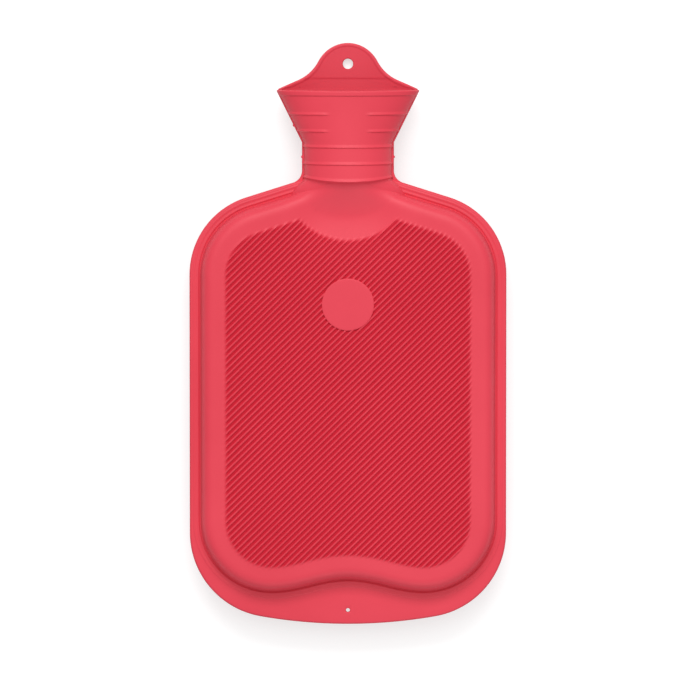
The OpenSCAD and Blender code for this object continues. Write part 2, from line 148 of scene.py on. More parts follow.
RING_BREAK = 12.7
RING_BREAK_FADE = 1.5
BEAD_LEN = 3
BEAD_FOOT = 0.6
BEAD_STEP = 0.7
RIM_EDGE_R = 1
RIM_INNER_ROUND = 0.9
SEAM_W = 1.3
SEAM_T = 2.4
SEAM_EDGE_T = 1.056
SEAM_BEVEL = 0.5
SEAM_ROOT = 5
SEAM_LEAST_W = 4
SEAM_WEB_R = 8
NUB_H = 0.6
NUB_FOOT = 0.9
NUB_TOP = 0.4
NUBS_AT = (295.8, 315.4)

# Tab
TAB_R = 22.3
TAB_FILLET_R = 26
RIM_SLOPE = math.radians(22)
RIM_CORNER_UP = 0.7
TAB_HOLE_R = 3.25
TAB_HOLE_AT = TOTAL_LEN - 13.2
TAB_FOOT_AT = 344
TAB_ROOT = 3
TAB_T = 2.4
TAB_PLATE_MORE = 0.25
TAB_PLATE_STEP = 1.2
TAB_EDGE_MORE = 0.2
TAB_EDGE_W = 2.4
TAB_EDGE_STEP = 0.7
TAB_EDGE_R = 0.9

# Room for the insert, and the throat below it
INSERT_FLANGE_R = 16.2
INSERT_FLANGE_T = 2
SEAT_CLEAR = 1
SEAT_OVERLAP = 0.4
INSERT_R = 14
INSERT_LEN = 22
GRIP_H = 1.3
GRIP_SLOPE = 0.8
GRIP_W = 1
GRIPS_AT = (-18, -13, -8)
THROAT_R = 13
THROAT_END_R = 10
THROAT_LEN = 14
HOLE_EDGE = 0.35

# Worked out from the sizes above
CHAMBER_HALF = HALF_W - FLANGE_W
BOTTOM_CX = HALF_W - BOTTOM_CORNER_R
BOTTOM_CS = BOTTOM_BOW_R - math.sqrt((BOTTOM_BOW_R - BOTTOM_CORNER_R) ** 2 - BOTTOM_CX ** 2)
BOW_END = math.atan2(BOTTOM_CS - BOTTOM_BOW_R, BOTTOM_CX)
SHOULDER_CX = HALF_W - SHOULDER_R
SHOULDER_END = math.pi / 2 - SLOPE
LOBE_X = CHAMBER_HALF - CHAMBER_CORNER_R
LOBE_CS = FLAP_H + CHAMBER_CORNER_R
FLANGE_APEX = SHOULDER_START + SHOULDER_R / math.cos(SLOPE) + SHOULDER_CX * math.tan(SLOPE)
CHAMBER_APEX = FLANGE_APEX - FLANGE_W / math.cos(SLOPE)
CHAMBER_MID = (FLAP_H + CHAMBER_APEX) / 2
CHAMBER_REACH = (CHAMBER_APEX - FLAP_H) / 2
FULL_RINGS_AT = (COLLAR_AT + COLLAR_LIP_UP,) + RINGS_AT

# How finely the shapes are divided: the rings' bottom, corner, side, shoulder and slope come first
RING_STEPS = (20, 24, 24, 18, 8)
LINES_PER_RIB = 6
POINTS_PER_LINE = 72
NECK_SIDES = 112
NECK_STEP = 1.6
ROUND_SIDES = 96

# How the points of one line along the ribs are spaced, as weights against each other
EDGE_SPACING = 0.16
SPACING_GROWTH = 0.13
WIDEST_SPACING = 5
FADE_SPACING = 0.75
NECK_SPACING = 1.8


def smooth(t):
    """Smooth step from 0 to 1 as t goes from 0 to 1."""
    t = np.clip(t, 0, 1)
    return t * t * (3 - 2 * t)


# Outlines


def arc(cx, cs, r, start, end, steps):
    """Points of an arc without its first one."""
    t = np.linspace(start, end, steps + 1)[1:]
    return np.column_stack([cx + r * np.cos(t), cs + r * np.sin(t)])


def mirrored(half):
    """Closed outline from its right half, which runs from the bottom's middle to the top's."""
    left = half[-2:0:-1].copy()
    left[:, 0] *= -1
    return np.vstack([half, left])


def wave(x):
    """Wavy end of the chamber over the flap."""
    return FLAP_H + WAVE_RISE / 2 * (1 + np.cos(np.pi * x / LOBE_X))


def wave_angle(x):
    return np.arctan(-WAVE_RISE / 2 * np.pi / LOBE_X * np.sin(np.pi * x / LOBE_X))


def side(x, low):
    """Straight side up to the shoulder, without its first point."""
    s = np.linspace(low, SHOULDER_START, RING_STEPS[2] + 1)[1:]
    return np.column_stack([np.full_like(s, x), s])


def top_edge(shoulder_r, apex):
    """Shoulder's arc and the straight slope from it up to the middle."""
    shoulder = arc(SHOULDER_CX, SHOULDER_START, shoulder_r, 0, SHOULDER_END, RING_STEPS[3])
    x = np.linspace(SHOULDER_CX + shoulder_r * math.cos(SHOULDER_END), 0, RING_STEPS[4] + 1)[1:]
    return np.vstack([shoulder, np.column_stack([x, apex - x * math.tan(SLOPE)])])


def chamber_ring(inset):
    """Edge of the chamber moved inwards."""
    x = np.linspace(0, LOBE_X, RING_STEPS[0] + 1)
    t = wave_angle(x)
    bottom = np.column_stack([x - inset * np.sin(t), wave(x) + inset * np.cos(t)])
    corner = arc(LOBE_X, LOBE_CS, CHAMBER_CORNER_R - inset, -math.pi / 2, 0, RING_STEPS[1])
    top = top_edge(SHOULDER_R - FLANGE_W - inset, CHAMBER_APEX - inset / math.cos(SLOPE))
    return mirrored(np.vstack([bottom, corner, side(CHAMBER_HALF - inset, LOBE_CS), top]))


def flange_ring(inset):
    """Outer edge of the flange moved inwards, point for point beside the chamber's edge."""
    t = np.linspace(-math.pi / 2, BOW_END, RING_STEPS[0] + 1)
    r = BOTTOM_BOW_R - inset
    bottom = np.column_stack([r * np.cos(t), BOTTOM_BOW_R + r * np.sin(t)])
    corner = arc(BOTTOM_CX, BOTTOM_CS, BOTTOM_CORNER_R - inset, BOW_END, 0, RING_STEPS[1])
    top = top_edge(SHOULDER_R - inset, FLANGE_APEX - inset / math.cos(SLOPE))
    return mirrored(np.vstack([bottom, corner, side(HALF_W - inset, BOTTOM_CS), top]))


# Heights of the bag


def depth(x, s):
    """Distance of a place in from the chamber's edge."""
    x = np.abs(x)
    across, up = x - SHOULDER_CX, s - SHOULDER_START
    in_arc = (across > 0) & (up > 0) & (np.arctan2(up, across) < SHOULDER_END)
    under_slope = (CHAMBER_APEX - s - x * math.tan(SLOPE)) * math.cos(SLOPE)
    straight = np.minimum(CHAMBER_HALF - x, under_slope)
    above = np.where(in_arc, SHOULDER_R - FLANGE_W - np.hypot(across, up), straight)
    across, up = x - LOBE_X, s - LOBE_CS
    outer = np.where(up < 0, CHAMBER_CORNER_R - np.hypot(across, up), CHAMBER_HALF - x)
    inner = np.minimum(CHAMBER_HALF - x, (s - wave(x)) * np.cos(wave_angle(x)))
    return np.minimum(above, np.where(across > 0, outer, inner))


def roll(d, width, power=2.0):
    """Rounded side from 0 at the edge to 1 at its width; a higher power makes a fuller corner."""
    return (1 - (1 - np.clip(d / width, 0, 1)) ** power) ** (1 / power)


def dish(x, s):
    """Depth by which the front of the empty bottle is sunken, more so below the stiff neck."""
    along = np.clip(1 - ((s - CHAMBER_MID) / CHAMBER_REACH) ** 2, 0, 1)
    off_middle = (s - COLLAR_AT + NECK_DIP_BELOW) / NECK_DIP_LEN
    below_neck = NECK_DIP_H * np.exp(-(x / NECK_DIP_W) ** 4 - off_middle ** 2)
    return DISH_H * np.clip(1 - (x / CHAMBER_HALF) ** 2, 0, 1) * along + below_neck


def face_h(x, s, d):
    """Height of the front over the seam."""
    return roll(d, ROLL_W, ROLL_POWER) * (SIDE_H - dish(x, s))


def back_h(d):
    """Depth of the back's rounded side under the seam."""
    return roll(d, BACK_ROLL_W) * BACK_SIDE_H


def panel_depth(x, s):
    """Depth from the edge as the ribs see it, which also keeps them off the neck."""
    off_neck = np.hypot(x, s - COLLAR_AT - WALL) - NECK_CLEAR_R
    return np.minimum(depth(x, s), off_neck + RIB_BORDER)


def root_size(drop):
    """Half width and half thickness of the neck's root, which widens down into the shoulders."""
    a = NECK_A + ROOT_SPREAD * (1 - np.exp(-(drop / ROOT_SPREAD_LEN) ** ROOT_SPREAD_POWER))
    b = NECK_B - RING_H - ROOT_STEP * (1 - np.exp(-drop / ROOT_STEP_LEN)) - ROOT_FALL * drop
    return a, np.clip(b, 0, None)


def collar_bow(x):
    """How far the collar hangs down in the middle of the front."""
    return COLLAR_BOW * np.clip(1 - (x / NECK_A) ** 2, 0, 1)


def root_h(x, s):
    """Height of the neck's root over the seam."""
    a, b = root_size(np.clip(COLLAR_AT - collar_bow(x) - s, 0, None))
    return b * np.sqrt(np.clip(1 - (x / a) ** 2, 0, 1))


def with_root(h, x, s):
    """Face height joined softly to the neck's root."""
    root = root_h(x, s)
    soft = ROOT_BLEND * np.clip(root / ROOT_BLEND_H, 0.01, 1)
    return np.maximum(h, root) + soft / 4 * np.clip(1 - np.abs(h - root) / soft, 0, 1) ** 2


def rib_profile(v):
    """Height of the ribs, from 0 in the valleys to 1 on the crests."""
    phase = 0.5 + 0.5 * np.cos(2 * np.pi * v / RIB_PITCH)
    return smooth((phase - RIB_VALLEY) / RIB_FLANK)


def rib_fade(x, s):
    """Share of the ribs' height, which runs out at the panel's border."""
    return smooth((panel_depth(x, s) - RIB_BORDER) / RIB_FADE)


# Closed shells


def skin(rings, loop=False):
    """Points and faces through a row of rings of points, closed at its ends or to a loop."""
    m, n = len(rings), len(rings[0])
    points = np.vstack(rings)
    i, j = np.meshgrid(np.arange(m if loop else m - 1), np.arange(n), indexing="ij")
    k, i2 = (j + 1) % n, (i + 1) % m
    quads = np.stack([i * n + j, i * n + k, i2 * n + k, i2 * n + j], axis=-1).reshape(-1, 4)
    faces = quads.tolist()
    if not loop:
        points = np.vstack([points, rings[0].mean(axis=0), rings[-1].mean(axis=0)])
        for j in range(n):
            k = (j + 1) % n
            faces.append([m * n, k, j])
            faces.append([m * n + 1, (m - 1) * n + j, (m - 1) * n + k])
    return points, faces


def shell(name, rings, loop=False):
    """Blender object from rings in millimetres, with stations along Y."""
    points, faces = skin(rings, loop)
    points = points.copy()
    points[:, 1] -= TOTAL_LEN / 2
    mesh = bpy.data.meshes.new(name)
    mesh.from_pydata((points * MM).tolist(), [], faces)
    mesh.update()
    obj = bpy.data.objects.new(name, mesh)
    bpy.context.scene.collection.objects.link(obj)
    return obj


def raised(ring, z):
    """Flat ring with one height, or with a height for each point."""
    return np.column_stack([ring, np.broadcast_to(z, len(ring))])


def shrunk(ring, share):
    """Ring drawn together about the chamber's middle."""
    return np.column_stack([ring[:, 0] * share, CHAMBER_MID + (ring[:, 1] - CHAMBER_MID) * share])


def place(u, v):
    """Place u along and v across the ribs, as x and station."""
    c, w = math.cos(RIB_SLANT), math.sin(RIB_SLANT)
    return u * c - v * w, CHAMBER_MID + u * w + v * c


def line_places(v, edge_u, edge_v):
    """Places u along the ribs at which a line v of the front gets its points."""
    f = edge_v - v
    g = np.roll(f, -1)
    hit = (f * g <= 0) & (f != g)
    u = edge_u[hit] + (np.roll(edge_u, -1)[hit] - edge_u[hit]) * f[hit] / (f[hit] - g[hit])
    u = np.linspace(u.min(), u.max(), 1500)
    x, s = place(u, v)
    from_fade = np.abs(panel_depth(x, s) - RIB_BORDER - RIB_FADE / 2)
    by_neck = np.hypot(x, s - COLLAR_AT) < NECK_CLEAR_R
    spacing = np.clip(EDGE_SPACING + SPACING_GROWTH * depth(x, s), EDGE_SPACING, WIDEST_SPACING)
    spacing = np.where(from_fade < RIB_FADE * 0.8, FADE_SPACING, spacing)
    spacing = np.where(by_neck, np.minimum(spacing, NECK_SPACING), spacing)
    count = np.concatenate([[0], np.cumsum(1 / spacing[1:])])
    return np.interp(np.linspace(0, count[-1], POINTS_PER_LINE), count, u)


def front():
    """Front half of the bag, laid out on lines that follow its ribs."""
    edge = chamber_ring(0)
    c, w = math.cos(RIB_SLANT), math.sin(RIB_SLANT)
    edge_u = edge[:, 0] * c + (edge[:, 1] - CHAMBER_MID) * w
    edge_v = (edge[:, 1] - CHAMBER_MID) * c - edge[:, 0] * w
    step = RIB_PITCH / LINES_PER_RIB
    low, high = edge_v.min(), edge_v.max()
    inset, free_steps = 0.1, 0.7
    first, last = math.ceil(low / step + free_steps), math.floor(high / step - free_steps)
    rings = []
    for v in [low + inset, *np.arange(first, last + 1) * step, high - inset]:
        u = line_places(v, edge_u, edge_v)
        x, s = place(u, v)
        h = with_root(face_h(x, s, depth(x, s)), x, s)
        z = SEAM_H + h + RIB_H * rib_profile(v) * rib_fade(x, s)
        foot = SEAM_H - HALF_OVERLAP
        ends = np.array([[x[-1], s[-1], foot], [x[0], s[0], foot]])
        rings.append(np.vstack([np.column_stack([x, s, z]), ends]))
    return shell("front_half", rings)


def back():
    """Smooth back half of the bag with the flat that it lies on."""
    rings = [raised(chamber_ring(0), SEAM_H + HALF_OVERLAP)]
    for d in BACK_ROLL_W * (1 - np.cos(np.linspace(0.12, math.pi / 2, 20))):
        ring = chamber_ring(d)
        rings.append(raised(ring, SEAM_H - with_root(back_h(d), ring[:, 0], ring[:, 1])))
    for share in np.linspace(0.96, 0.05, 22):
        ring = shrunk(chamber_ring(BACK_ROLL_W), share)
        h = BACK_SIDE_H + (SEAM_H - BACK_SIDE_H) * smooth((1 - share) / (1 - FLAT_SHARE))
        rings.append(raised(ring, SEAM_H - h))
    return shell("back_half", rings[::-1])


def flange():
    """Flange all round the chamber: groove, welt with its two fine lines, step and rounded edge."""
    section = [(chamber_ring(FLANGE_ROOT), GROOVE_T / 2), (chamber_ring(0), GROOVE_T / 2)]
    rise, drop = (WELT_T - GROOVE_T) / 2, (WELT_T - FLANGE_T) / 2
    for t in np.linspace(0, 1, 7):
        section.append((chamber_ring(-GROOVE_W - WELT_SLOPE * t), GROOVE_T / 2 + rise * smooth(t)))
    for t in np.linspace(0, 1, 9)[1:]:
        sink = WELT_SINK * math.sin(math.pi * t) ** 2
        section.append((chamber_ring(-GROOVE_W - WELT_SLOPE - WELT_W * t), WELT_T / 2 - sink))
    welt_end = GROOVE_W + WELT_SLOPE + WELT_W
    for t in np.linspace(0.2, 1, 5):
        section.append((chamber_ring(-welt_end - WELT_SLOPE * 0.8 * t), WELT_T / 2 - drop * smooth(t)))
    inner, outer_edge = section[-1][0], flange_ring(EDGE_W)
    for t in (0.25, 0.5, 0.75):
        section.append((inner * (1 - t) + outer_edge * t, FLANGE_T / 2))
    for t in np.linspace(0, math.pi / 2, 9):
        inset = EDGE_W * (1 - math.sin(t))
        section.append((flange_ring(inset), FLANGE_T / 2 * (EDGE_FLAT + (1 - EDGE_FLAT) * math.cos(t))))
    top = [raised(ring, SEAM_H + t) for ring, t in section]
    low = [raised(ring, SEAM_H - t) for ring, t in reversed(section)]
    loop = np.stack(top + low, axis=1)
    return shell("flange_part", list(loop), loop=True)


def lathe(name, profile, centre, axis="z", sides=ROUND_SIDES):
    """Solid turned round an upright axis, or round the neck's own, from radius and height pairs."""
    t = np.linspace(0, 2 * np.pi, sides, endpoint=False)
    rings = []
    for r, h in profile:
        a, b, c = r * np.cos(t), r * np.sin(t), np.full(sides, float(h))
        ring = np.column_stack([a, b, c]) if axis == "z" else np.column_stack([b, c, a])
        rings.append(ring + np.array(centre))
    return shell(name, rings)


def pad():
    """Bare round pad that ends the ribs, tilted as the sunken front is there."""
    top = SEAM_H + float(face_h(0, PAD_AT, ROLL_W)) + RIB_H + PAD_PROUD
    tilt = 2 * DISH_H * (PAD_AT - CHAMBER_MID) / CHAMBER_REACH ** 2
    edge = PAD_EDGE_R
    turn = np.linspace(0, math.pi / 2, 6)
    profile = [(PAD_R, -RIB_H - PAD_ROOT)]
    profile += [(PAD_R - edge + edge * math.cos(t), -edge + edge * math.sin(t)) for t in turn]
    profile += [(PAD_R * 0.9, PAD_CROWN / 4), (PAD_R * 0.5, PAD_CROWN * 0.75), (1, PAD_CROWN)]
    t = np.linspace(0, 2 * np.pi, ROUND_SIDES, endpoint=False)
    return shell("pad_part", [
        np.column_stack([r * np.cos(t), PAD_AT + r * np.sin(t), top + h + tilt * r * np.sin(t)])
        for r, h in profile])


# Neck, funnel and tab


def neck_turn():
    """Angles of the neck's points, from the middle of the front."""
    return np.linspace(0, 2 * np.pi, NECK_SIDES, endpoint=False)


def oval(s, a, b, h=0):
    """Ring of the neck, with a height h over its half width and half thickness."""
    x, z = (a + h) * np.sin(neck_turn()), (b + h) * np.cos(neck_turn())
    return np.column_stack([x, np.full(NECK_SIDES, float(s)), SEAM_H + z])


def flare(s):
    """Share by which the funnel has opened, with a soft bend at its foot."""
    t = np.clip((s - FLARE_AT) / (RIM_AT - FLARE_AT), 0, 1)
    return t + FLARE_BEND * np.exp(-((s - FLARE_AT) / FLARE_BEND_LEN) ** 2)


def outer(s):
    """Half width and half thickness of the neck and the funnel."""
    return NECK_A + (MOUTH_A - NECK_A) * flare(s), NECK_B + (MOUTH_B - NECK_B) * flare(s)


def lip(t):
    """Section of a raised line: steep below, running out gently above."""
    return np.where(t < 0, smooth(1 + t / LIP_BELOW), smooth(1 - t / LIP_ABOVE))


def bowed(ring, s):
    """Ring of the neck drawn down in the middle of the front, as far as the collar's bow reaches."""
    reach = RINGS_AT[0] - COLLAR_AT - 2 * BOW_CLEAR
    share = smooth((RINGS_AT[0] - BOW_CLEAR - s) / reach)
    front = np.where(ring[:, 2] > SEAM_H, share, 0)
    ring[:, 1] -= front * collar_bow(ring[:, 0])
    return ring


def root_rings():
    """Rings of the neck's root, up to just below the collar."""
    rings = []
    for drop in np.linspace(ROOT_REACH, 0.4, 40):
        a, b = root_size(drop)
        sunk = ROOT_SUNK if drop > 1 else 0
        rings.append(bowed(oval(COLLAR_AT - drop, a - sunk, max(b - sunk, 1)), COLLAR_AT - drop))
    return rings


def neck_marks(s, x):
    """Height of the collar, the rings and the rim's bead at one station."""
    full = sum(RING_H * lip(s - at) for at in FULL_RINGS_AT)
    off_middle = smooth((np.abs(x) - RING_BREAK) / RING_BREAK_FADE)
    broken = sum(RING_H * lip(s - at) * off_middle for at in BROKEN_AT)
    below_rim = RIM_AT - s
    bead = RING_H * smooth((BEAD_LEN + BEAD_FOOT - below_rim) / BEAD_STEP)
    in_edge = max(0, RIM_EDGE_R - below_rim)
    rounding = RIM_EDGE_R - math.sqrt(max(0, RIM_EDGE_R ** 2 - in_edge ** 2))
    return full + broken + bead - rounding


def neck():
    """Outside of the neck and the funnel, with the raised lines, the collar and the rim's bead."""
    bead_from = RIM_AT - BEAD_LEN - 1
    across_mark = np.linspace(-0.7, 2.1, 13)
    fine = [s + d for s in FULL_RINGS_AT + BROKEN_AT for d in across_mark]
    coarse = np.arange(COLLAR_AT, bead_from - 0.2, NECK_STEP)
    bead = np.linspace(bead_from, RIM_AT, 22)
    rings = root_rings()
    for s in sorted([*fine, *coarse, *bead]):
        if s >= COLLAR_AT:
            a, b = outer(s)
            rings.append(bowed(oval(s, a, b, neck_marks(s, a * np.sin(neck_turn()))), s))
    return shell("neck_part", rings)


def seam_edge(nubs_at):
    """Edge of one mould seam from the flange up to the rim, with its small nubs."""
    side_x, top = NECK_A + SEAM_W, RIM_AT - RING_H
    foot_x = side_x + SEAM_WEB_R
    web_cs = FLANGE_APEX - foot_x * math.tan(SLOPE) + SEAM_WEB_R / math.cos(SLOPE)
    low_s = CHAMBER_APEX - foot_x * math.tan(SLOPE)
    bend = arc(foot_x, web_cs, SEAM_WEB_R, 1.5 * math.pi - SLOPE, math.pi, 16)
    nub = (-NUB_FOOT, -NUB_TOP, NUB_TOP, NUB_FOOT)
    s = np.array(sorted([FLARE_AT, top] + [at + d for at in nubs_at for d in nub]))
    x = np.interp(s, [FLARE_AT, top], [side_x, outer(top)[0] + RING_H])
    x += [NUB_H if min(abs(at - one) for at in nubs_at) < (NUB_TOP + NUB_FOOT) / 2 else 0 for one in s]
    return np.vstack([[[foot_x, low_s]], bend, np.column_stack([x, s])])


def seam_fins():
    """Mould seams down both sides of the neck, running out into the flange."""
    parts = []
    for sign, nubs_at in ((1, NUBS_AT[:1]), (-1, NUBS_AT)):
        rings = []
        for x, s in seam_edge(nubs_at):
            inner_x = min(x - SEAM_LEAST_W, NECK_A - SEAM_ROOT)
            front = [(inner_x, SEAM_T / 2), (x - SEAM_BEVEL, SEAM_T / 2), (x, SEAM_EDGE_T / 2)]
            section = front + [(across, -h) for across, h in reversed(front)]
            ring = np.array([[sign * across, s, SEAM_H + h] for across, h in section])
            rings.append(ring[::sign])
        parts.append(shell("seam_part", rings))
    return parts


def tab_ring(inset):
    """Outline of the tab and the rim behind it, moved inwards, down to a foot in the funnel's wall."""
    cs = TOTAL_LEN - TAB_R
    corner_x = MOUTH_A + RING_H
    slope_x, slope_s = math.sin(RIM_SLOPE), math.cos(RIM_SLOPE)
    level = slope_x * corner_x + slope_s * (RIM_AT + RIM_CORNER_UP)
    # Centre of the hollow curve, which touches the tab's circle and the slanting rim
    a, b = (level + TAB_FILLET_R) / slope_s - cs, slope_x / slope_s
    reach = TAB_R + TAB_FILLET_R
    cx = (a * b + math.sqrt(reach ** 2 * (1 + b ** 2) - a ** 2)) / (1 + b ** 2)
    turn = math.asin((a - b * cx) / reach)
    foot, side_x = RIM_AT - TAB_ROOT + inset, corner_x - inset
    corner_s = (level - inset - slope_x * side_x) / slope_s
    base = np.column_stack([np.linspace(0, side_x, 24), np.full(24, foot)])
    rise = np.column_stack([np.full(4, side_x), np.linspace(foot, corner_s, 5)[1:]])
    fillet = TAB_FILLET_R + inset
    low = arc(cx, cs + a - b * cx, fillet, 1.5 * math.pi - RIM_SLOPE, math.pi + turn, 16)
    slant = np.linspace(rise[-1], low[0] + (low[0] - low[1]) * 0.5, 10)[1:]
    top = arc(0, cs, TAB_R - inset, turn, math.pi / 2, 32)
    return mirrored(np.vstack([base, rise, slant, low, top]))


def tab():
    """Hanging tab: the funnel's back wall carried on upwards, with a raised edge and a foot."""

    def layer(ring, edge, sign):
        """Ring that lies a distance in from the edge, on the front or the back of the sheet."""
        q, s = ring[:, 0] / (MOUTH_A + RING_H), ring[:, 1]
        half = TAB_T / 2 + TAB_PLATE_MORE * smooth((s - TAB_FOOT_AT) / TAB_PLATE_STEP)
        half += TAB_EDGE_MORE * smooth((TAB_EDGE_W - edge) / TAB_EDGE_STEP)
        half = half * math.sqrt(1 - (1 - min(edge / TAB_EDGE_R, 1)) ** 2)
        across, deep = np.clip(q, -1, 1), np.sqrt(np.clip(1 - q ** 2, 0, 1))
        a, b = (reach - FUNNEL_WALL / 2 for reach in outer(np.minimum(s, RIM_AT)))
        tilt = np.hypot(across * b, deep * a)
        x = a * across + sign * half * across * b / tilt
        z = b * deep + sign * half * deep * a / tilt
        return np.column_stack([x, s, SEAM_H - z])

    insets = [0.02, 0.1, 0.25, 0.45, 0.7, 0.95, 1.3, 1.6, 1.8, 2.0, 2.2, 2.4, 2.8]
    centre = np.array([0, TAB_HOLE_AT - 8])
    core = tab_ring(insets[-1])
    shares = np.linspace(0.95, 0.05, 20)

    def side_rings(sign):
        rings = [layer(tab_ring(d), d, sign) for d in insets]
        return rings + [layer(centre + (core - centre) * share, insets[-1], sign) for share in shares]

    return shell("tab_part", side_rings(1)[::-1] + side_rings(-1))


# Hollows that are cut out


def funnel_void():
    """Inside of the funnel, from the insert's seat out past the rim."""
    rings = []
    foot_a, foot_b = INSERT_FLANGE_R + SEAT_CLEAR, NECK_B - FUNNEL_WALL
    front_only = smooth(np.cos(neck_turn()) * 3)
    edge_from = RIM_AT - RIM_EDGE_R
    for s in [*np.linspace(SEAT_AT, edge_from - 0.2, 30), *np.linspace(edge_from, RIM_AT + 1.5, 10)]:
        a, b = outer(s)
        open_up = smooth((s - SEAT_AT) / FUNNEL_FOOT_LEN)
        a = foot_a + (a - FUNNEL_WALL - foot_a) * open_up
        b = foot_b + (b - FUNNEL_WALL - foot_b) * open_up
        rounding = RIM_INNER_ROUND * max(0, RIM_EDGE_R - (RIM_AT - s)) ** 2
        rings.append(oval(s, a, b, rounding * front_only))
    return shell("funnel_void", rings)


def chamber_void():
    """Water chamber, a wall's thickness inside both halves."""
    turns = np.linspace(0.25, math.pi / 2, 10)
    shares = (0.8, 0.6, 0.4, 0.2)

    def floor(d, share=1):
        ring = shrunk(chamber_ring(d + WALL), share)
        sink = (SEAM_H - BACK_SIDE_H) * smooth((1 - share) / (1 - FLAT_SHARE))
        return raised(ring, SEAM_H - back_h(d) - sink + WALL)

    def ceiling(d, share=1):
        ring = shrunk(chamber_ring(d + WALL), share)
        return raised(ring, SEAM_H + face_h(ring[:, 0], ring[:, 1], d) - WALL)

    low = [floor(BACK_ROLL_W, share) for share in reversed(shares)]
    low += [floor(BACK_ROLL_W * (1 - math.cos(t))) for t in reversed(turns)]
    top = [ceiling(ROLL_W * (1 - math.cos(t))) for t in turns]
    top += [ceiling(ROLL_W, share) for share in shares]
    return shell("chamber_void", low + [raised(chamber_ring(WALL + VOID_SEAM_IN), SEAM_H)] + top)


def insert_recess():
    """Room that the insert's outside takes in the neck, with the throat below it."""
    profile = [(THROAT_END_R, -INSERT_LEN - THROAT_LEN), (THROAT_R, -INSERT_LEN), (INSERT_R, -INSERT_LEN)]
    for z in GRIPS_AT:
        grip_r, low = INSERT_R + GRIP_H, z + GRIP_SLOPE
        high = low + GRIP_W
        profile += [(INSERT_R, z), (grip_r, low), (grip_r, high), (INSERT_R, high + GRIP_SLOPE)]
    profile += [(INSERT_R, -INSERT_FLANGE_T), (INSERT_FLANGE_R, -INSERT_FLANGE_T)]
    profile.append((INSERT_FLANGE_R, SEAT_OVERLAP))
    return lathe("insert_recess", profile, (0, SEAT_AT, SEAM_H), axis="y")


def hole(name, r, s, low, high):
    """Round hole through a sheet, with softly broken edges."""
    edge = HOLE_EDGE
    steps = [(r + edge + 1, 1), (r + edge, 0.02), (r + edge * 0.3, -edge * 0.35), (r, -edge)]
    profile = [(across, low - out) for across, out in steps]
    profile += [(across, high + out) for across, out in reversed(steps)]
    return lathe(name, profile, (0, s, 0), sides=64)


def combine(obj, tools, operation):
    """Joins or cuts closed shells exactly and removes the tools."""
    for tool in tools:
        modifier = obj.modifiers.new(operation.lower(), "BOOLEAN")
        modifier.operation = operation
        modifier.solver = "MANIFOLD"
        modifier.object = tool
    depsgraph = bpy.context.evaluated_depsgraph_get()
    mesh = bpy.data.meshes.new_from_object(obj.evaluated_get(depsgraph))
    obj.modifiers.clear()
    obj.data = mesh
    for tool in tools:
        bpy.data.objects.remove(tool)


def bottle_body():
    """The whole rubber moulding as one closed mesh."""
    body = front()
    body.name = "bottle_body"
    combine(body, [back(), flange(), neck(), pad(), tab()] + seam_fins(), "UNION")
    tab_z, tab_half = SEAM_H - MOUTH_B + FUNNEL_WALL / 2, TAB_T / 2 + TAB_PLATE_MORE
    combine(body, [
        chamber_void(), funnel_void(), insert_recess(),
        hole("tab_hole", TAB_HOLE_R, TAB_HOLE_AT, tab_z - tab_half, tab_z + tab_half),
        hole("flap_hole", FLAP_HOLE_R, FLAP_HOLE_AT, SEAM_H - FLANGE_T / 2, SEAM_H + FLANGE_T / 2),
    ], "DIFFERENCE")
    body.data.name = "bottle_body"
    mark_painted_groove_shade(body)
    smooth_shading(body, 38)
    return body


def mark_painted_groove_shade(obj):
    """Stores how deep in the grooves between the ribs each point of the front lies, as the share of
    painted shade that the rubber lays into those grooves.
    """
    co = np.empty(len(obj.data.vertices) * 3)
    obj.data.vertices.foreach_get("co", co)
    x, s, z = (co.reshape(-1, 3) / MM).T
    s = s + TOTAL_LEN / 2
    v = (s - CHAMBER_MID) * math.cos(RIB_SLANT) - x * math.sin(RIB_SLANT)
    fade = rib_fade(x, s)
    top = SEAM_H + with_root(face_h(x, s, depth(x, s)), x, s) + RIB_H * rib_profile(v) * fade
    on_front = np.abs(z - top) < 0.15
    # Share of painted shade: full in the rib valleys, none on the crests or off the ribbed panel.
    share = np.where(on_front, (1 - rib_profile(v)) * fade, 0)
    obj.data.attributes.new("groove", "FLOAT", "POINT").data.foreach_set("value", share)


def smooth_shading(obj, degrees):
    obj.data.polygons.foreach_set("use_smooth", [True] * len(obj.data.polygons))
    obj.data.set_sharp_from_angle(angle=math.radians(degrees))


# Materials


class Nodes:
    """Short way to build a node material."""

    def __init__(self, name):
        self.material = bpy.data.materials.new(name)
        self.material.use_nodes = True
        self.tree = self.material.node_tree
        self.tree.nodes.clear()

    def add(self, kind, inputs=None, **settings):
        node = self.tree.nodes.new(kind)
        for key, value in settings.items():
            setattr(node, key, value)
        for key, value in (inputs or {}).items():
            socket = self.socket(node, key)
            if isinstance(value, bpy.types.NodeSocket):
                self.tree.links.new(value, socket)
            else:
                socket.default_value = value
        return node

    @staticmethod
    def socket(node, key):
        """An input by its place or its name, of the kind that the node has switched on."""
        if isinstance(key, int):
            return node.inputs[key]
        return next(s for s in node.inputs if s.name == key and s.enabled)


